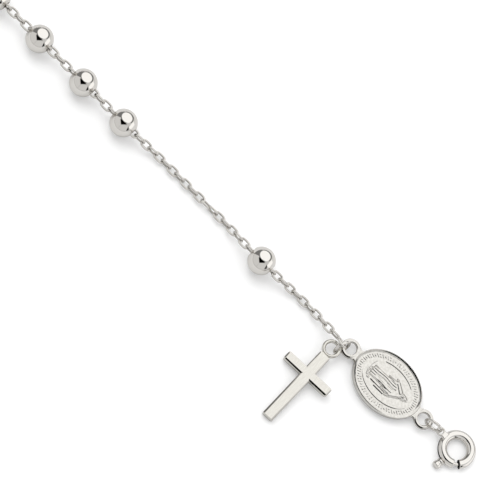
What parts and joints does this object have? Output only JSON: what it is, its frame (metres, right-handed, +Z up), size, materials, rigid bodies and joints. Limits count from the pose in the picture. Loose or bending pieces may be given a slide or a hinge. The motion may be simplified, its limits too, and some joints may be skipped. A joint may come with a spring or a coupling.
{
  "type": "rosary bracelet",
  "caption": "Fine cable-chain rosary bracelet with round hollow beads, an oval medal, a small cross and a spring ring clasp, laid open on a surface.",
  "frame": {"origin": "middle of the footprint on the surface that the bracelet lies on", "axes": "+X along the straight stretch from the beads towards the clasp, +Y from the straight stretch towards the stretch that comes back, +Z up from the surface"},
  "size_m": [0.1212, 0.0676, 0.004],
  "materials": {
    "silver": "polished sterling silver"
  },
  "bodies": {
    "bracelet": {"clasp_ring": "silver", "clasp_link": "silver", "medal": "silver", "drop_ring": "silver", "cross": "silver", "chain": "silver", "chain_link_front": "silver", "chain_link_end": "silver", "end_eye": "silver", "bead_01": "silver", "bead_02": "silver", "bead_03": "silver", "bead_04": "silver", "bead_05": "silver", "bead_06": "silver", "bead_07": "silver", "bead_08": "silver", "bead_09": "silver", "bead_10": "silver", "bead_11": "silver", "bead_12": "silver"},
    "gate": {"clasp_gate": "silver"}
  },
  "joints": [
    {"name": "clasp_gate", "type": "hinge", "parent": "bracelet", "child": "gate", "pos_m": [0.05785, -0.01746, 0.00064], "axis": [0, 0, -1], "range_deg": [0, 55], "stiffness_Nm_per_rad": 0.0000015, "springref_deg": -25.78}
  ]
}
